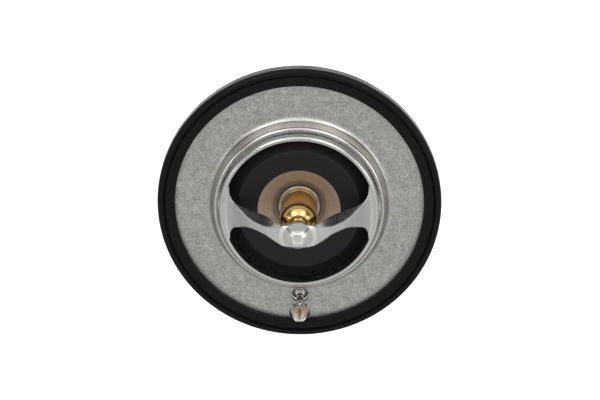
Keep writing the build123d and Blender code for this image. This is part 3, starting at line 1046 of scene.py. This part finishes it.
# %% Spring wire
spring_wire = patterned(
    "tempered_wire", "#a9a8a3", 1.0, 0.3,
    {"grain": (0.3, 3.0), "temper": (4.0, 2.0)},
    tone=("temper", "#8f8f8c", "#bdbbb5"),
    gloss=("grain", 0.0, 1.0, 0.2, 0.42),
    relief=("grain", 0.15, 0.02),
)
tree_of_springs = spring_tree(spring_wire)


def spring(name, **sizes):
    """A plain mesh of a spring, made by the node tree from sizes in metres and turns."""
    piece = bpy.data.objects.new(name, bpy.data.meshes.new(name))
    scene.collection.objects.link(piece)
    coiler = piece.modifiers.new("coiler", "NODES")
    coiler.node_group = tree_of_springs
    for item in tree_of_springs.interface.items_tree:
        words = item.name.lower().replace(" ", "_")
        if words in sizes:
            coiler[item.identifier] = float(sizes[words])
    apply_modifiers(piece)
    print(name, len(piece.data.polygons), "faces")
    return piece


# %% The two springs
valve_travel, bypass_travel = 9.0, 4.0
spring_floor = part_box("main_spring")[0][2]
spring_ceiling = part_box("main_spring")[1][2]
main_coil = spring(
    "main_coil",
    wire_radius=0.95 * MM,
    bottom_radius=11.2 * MM,
    top_radius=11.2 * MM,
    bottom=spring_floor,
    top=spring_ceiling,
    turns=6,
    close_turns=1,
)
dress(main_coil, spring_wire)
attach(main_coil, "frame")
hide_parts("main_spring")
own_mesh(main_coil)
cone_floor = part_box("bypass_spring")[0][2]
bypass_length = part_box("bypass_spring")[1][2] - cone_floor
cone_coil = spring(
    "cone_coil",
    wire_radius=0.55 * MM,
    bottom_radius=8.6 * MM,
    top_radius=5.2 * MM,
    bottom=cone_floor,
    top=cone_floor + bypass_length,
    turns=3,
    close_turns=0.25,
)
dress(cone_coil, spring_wire)
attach(cone_coil, "valve")
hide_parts("bypass_spring")
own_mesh(cone_coil)

# %% [markdown]
# ## The lower frame and the bypass
# The lower frame is a zinc-plated strap, bent twice, with a pressed seat for the spring.  The
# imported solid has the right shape, so a merged copy of it gets softened edges.  The bypass disc
# is plated too, its stem is turned brass, and the clip is stamped from spring steel.

# %% Zinc plate, and the lower pieces
zinc = patterned(
    "zinc_plated_steel", "#b9bab6", 1.0, 0.38,
    {"spangle": (0.7,), "cloud": (3.0, 3.0)},
    tone=("cloud", "#a2a4a2", "#cfcfca"),
    gloss=("spangle", 0.0, 0.7, 0.3, 0.48),
)

strap = dress(merged("lower_frame", "frame_strap", bevel=0.12), zinc)
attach(strap, "frame")
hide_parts("lower_frame")

disc_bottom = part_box("bypass_disc")[0][2] / MM
disc_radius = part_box("bypass_disc")[1][0] / MM
disc_top = disc_bottom + 1.2
disc_hub_top = disc_top + 1.4
disc_bore, disc_hub_radius = 2.25, 3.2
disc = turned(
    "bypass_plate",
    [
        (disc_bore, disc_bottom, 0.1),
        (disc_radius, disc_bottom, 0.4),
        (disc_radius, disc_top, 0.4),
        (disc_hub_radius, disc_top, 0.4),
        (disc_hub_radius, disc_hub_top, 0.2),
        (disc_bore, disc_hub_top, 0.1),
    ],
)
dress(disc, zinc)
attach(disc, "bypass")
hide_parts("bypass_disc")
stem_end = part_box("bypass_stem")[0][2] / MM
stem_top = cup_bottom - 0.01
stem_foot = cup_bottom - 0.6
stem_radius, stem_foot_radius, clip_groove_radius = 2.2, 4.4, 1.8
clip_bottom = disc_bottom - 0.8
stem = turned(
    "bypass_stem_turning",
    [
        (0, stem_top, 0),
        (stem_foot_radius, stem_top, 0),
        (stem_foot_radius, stem_foot, 0.2),
        (stem_radius, stem_foot, 0.15),
        (stem_radius, disc_bottom, 0.05),
        (clip_groove_radius, disc_bottom, 0),
        (clip_groove_radius, clip_bottom, 0),
        (stem_radius, clip_bottom, 0.05),
        (stem_radius, stem_end, 0.35),
        (0, stem_end, 0),
    ],
)
dress(stem, brass)
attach(stem, "valve")
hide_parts("bypass_stem")
clip = dress(merged("bypass_clip", "stem_clip", bevel=0.08), spring_wire)
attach(clip, "valve")
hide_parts("bypass_clip")
print("disc radius", disc_radius, "stem end", stem_end)

# %% [markdown]
# ## The vent pin
# A bright pin with a ball below the flange and a squeezed head above it.  The head was nipped
# between two blunt jaws, which spread it sideways and left a groove in both faces.  Its facets
# are plain, so it is built from three sections and beveled a little, as the nip leaves it.  The
# pin leans outwards, with its ball just under the hole.

# %% The vent pin
pin_lean = math.radians(14)
ball_radius = 2.5
ball_middle = -2.394
neck_radius, neck_end = 0.8, 6.3
tail_radius, tail_start, tail_end = 1.3, -1.8, -3.1
pin_foot = Matrix.Translation((0, -vent_circle * MM, ball_middle * MM))
pin_place = pin_foot @ Matrix.Rotation(pin_lean, 4, "X")
pin_mesh = bmesh.new()
arc = [
    (ball_radius * math.sin(a) if 0 < a < math.pi else 0.0, -ball_radius * math.cos(a))
    for a in np.linspace(0, math.pi, 41)
]
spun(pin_mesh, arc, 96)
spun(pin_mesh, [(0, 0.5), (neck_radius, 0.5), (neck_radius, neck_end), (0, neck_end)], 48)
tail = [
    (0, tail_end, 0),
    (tail_radius, tail_end, 0.2),
    (tail_radius, tail_start, 0),
    (0, tail_start, 0),
]
spun(pin_mesh, rounded(tail), 48)
pin_mesh.transform(pin_place)
pin_body = dress(finished("vent_ball_pin", pin_mesh), bright)
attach(pin_body, "vent")
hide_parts("vent_ball")

# %% Its nipped head
# Each section: the distance along the pin, the width and the thickness.
head_sections = ((6.0, 3.7, 1.0), (8.5, 4.7, 3.0), (11.5, 1.8, 0.6))
pinch_share = 0.22
head_mesh = bmesh.new()
rings = []
for distance, width, thickness in head_sections:
    pinch = pinch_share * thickness
    quarter = [
        (width / 2, thickness / 2 - pinch),
        (width / 2 - pinch, thickness / 2),
        (pinch, thickness / 2),
        (0, thickness / 2 - pinch),
    ]
    upper = quarter + [(-x, y) for x, y in reversed(quarter[:-1])]
    outline = upper + [(x, -y) for x, y in reversed(upper)]
    rings.append([head_mesh.verts.new((x * MM, y * MM, distance * MM)) for x, y in outline])
for ring, after in zip(rings, rings[1:]):
    for k in range(len(ring)):
        there = (k + 1) % len(ring)
        head_mesh.faces.new((ring[k], ring[there], after[there], after[k]))
head_mesh.faces.new(rings[0][::-1])
head_mesh.faces.new(rings[-1])
bevel_edges(head_mesh, list(head_mesh.edges), 0.045, 0.6)
head_mesh.transform(pin_place)
pin_head = dress(finished("vent_pin_head", head_mesh, sharp=50), nipped)
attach(pin_head, "vent")
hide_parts("vent_pin")
print("head faces", len(pin_head.data.polygons))

# %% [markdown]
# ## The parts inside the element
# Wax, diaphragm, plug and disc are never seen whole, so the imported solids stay.  Each still gets
# the finish of its real stuff, for a cut-away: brown wax with pale copper flakes, black rubber,
# and white plastic.

# %% Inside the element
wax = patterned(
    "copper_filled_wax", "#8a6a4b", 0.0, 0.6,
    {"flakes": (0.4,)},
    tone=("flakes", "#a97e52", "#6f5138"),
)
plastic = patterned(
    "white_fluoroplastic", "#e9e7e1", 0.0, 0.45,
    {"haze": (1.0, 2.0)},
    tone=("haze", "#e2dfd6", "#f1efea"),
)
for node, material in (
    ("wax_charge", wax),
    ("diaphragm", moulded),
    ("rubber_plug", moulded),
    ("backup_disc", plastic),
):
    dress(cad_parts[node], material)
print("inner pieces dressed")

# %% [markdown]
# ## Floor, light and camera
# Under the part is a white acrylic light table, which gives it no shadow.  It is low enough for
# the stem of the open valve, and its glow fades outside the camera's view, so that the metal
# isn't lit from all round.  The glow's centring and its two radii are in metres.

# %% The light table
stem_gap = 0.3
floor_height = (stem_end - valve_travel - stem_gap) * MM
centring, lit_radius, dark_radius = (0.0, 0.0177, 0.0), 0.0965, 0.138
table_mesh = bmesh.new()
bmesh.ops.create_grid(
    table_mesh,
    x_segments=1,
    y_segments=1,
    size=1.5,
    matrix=Matrix.Translation((0, 0, floor_height)),
)
table = finished("light_table", table_mesh)
acrylic, tree, shader, place = finish_named(
    "lit_acrylic", "#ffffff", 0.0, 0.6, Emission_Color=colour("#ffffff")
)
centred = add_node(tree, "VectorMath", (place, centring), operation="ADD")
away = axis_distance(tree, centred)
for socket, inside in (("Emission_Strength", 1.0), ("Base_Color", 0.8)):
    fading = add_node(tree, "MapRange", (away, lit_radius, dark_radius, inside, 0.25))
    feed(shader, **{socket: fading})
dress(table, acrylic)
print("floor at", round(floor_height / MM, 2), "mm")

# %% [markdown]
# The room is dark grey.  Dim walls and a ceiling of light give the metal its middle tones, the
# brighter front wall is what the dome, the nose and the collar mirror, and two boxes and two
# strips beside it give the highlights.

# %% The room and its lights
world = bpy.data.worlds.new("grey_room")
world.use_nodes = True
background = world.node_tree.nodes["Background"]
background.inputs["Color"].default_value = (1, 1, 1, 1)
background.inputs["Strength"].default_value = 0.14
scene.world = world
scene.view_settings.view_transform = "Standard"
# Each soft box: its name, its place and size in metres, and its radiance.  It faces the part.
for name, position, size, radiance in (
    ("left_box", (-0.27, 0.44, 0.42), (0.20, 0.40), 2.6),
    ("right_box", (0.27, 0.44, 0.42), (0.22, 0.40), 2.6),
    ("left_strip", (-0.46, 0.12, 0.36), (0.14, 0.28), 1.4),
    ("right_strip", (0.46, 0.12, 0.36), (0.24, 0.30), 1.8),
    ("left_wall", (-0.62, -0.16, 0.26), (0.90, 0.80), 0.46),
    ("right_wall", (0.62, -0.16, 0.26), (0.90, 0.80), 0.46),
    ("back_wall", (0.0, -0.66, 0.30), (1.10, 0.70), 0.55),
    ("front_wall", (0.0, 0.57, 0.40), (1.10, 0.80), 0.95),
    ("ceiling", (0.0, -0.20, 0.62), (1.10, 0.70), 0.56),
):
    data = bpy.data.lights.new(name, "AREA")
    data.shape = "RECTANGLE"
    data.size, data.size_y = size
    data.energy = math.pi * radiance * size[0] * size[1]
    lamp = bpy.data.objects.new(name, data)
    lamp.location = position
    lamp.rotation_euler = Vector(position).to_track_quat("Z", "Y").to_euler()
    scene.collection.objects.link(lamp)
print("lights", len(bpy.data.lights))

# %% [markdown]
# The camera looks down the axis, tipped about 21 degrees, from 0.4 m with a long lens, as for a
# parts catalogue.  Its axes are written out, so that no constraint is left on it.

# %% The camera
tip = math.radians(20.9)
swing = math.radians(1.0)
camera_distance = 0.4
camera_data = bpy.data.cameras.new("catalogue_camera")
camera_data.lens = 106.4
camera_data.sensor_width = 36.0
camera_data.shift_x = 0.0010
camera_data.shift_y = 0.0055
camera = bpy.data.objects.new("catalogue_camera", camera_data)
aside, ahead = math.sin(swing), math.cos(swing)
back = Vector((aside, ahead * math.sin(tip), ahead * math.cos(tip)))
right = Vector((ahead, -aside * math.sin(tip), -aside * math.cos(tip)))
up = back.cross(right)
axes = Matrix((right, up, back)).transposed().to_4x4()
camera.matrix_world = Matrix.Translation(back * camera_distance) @ axes
scene.collection.objects.link(camera)
scene.camera = camera
print("lens", camera_data.lens)
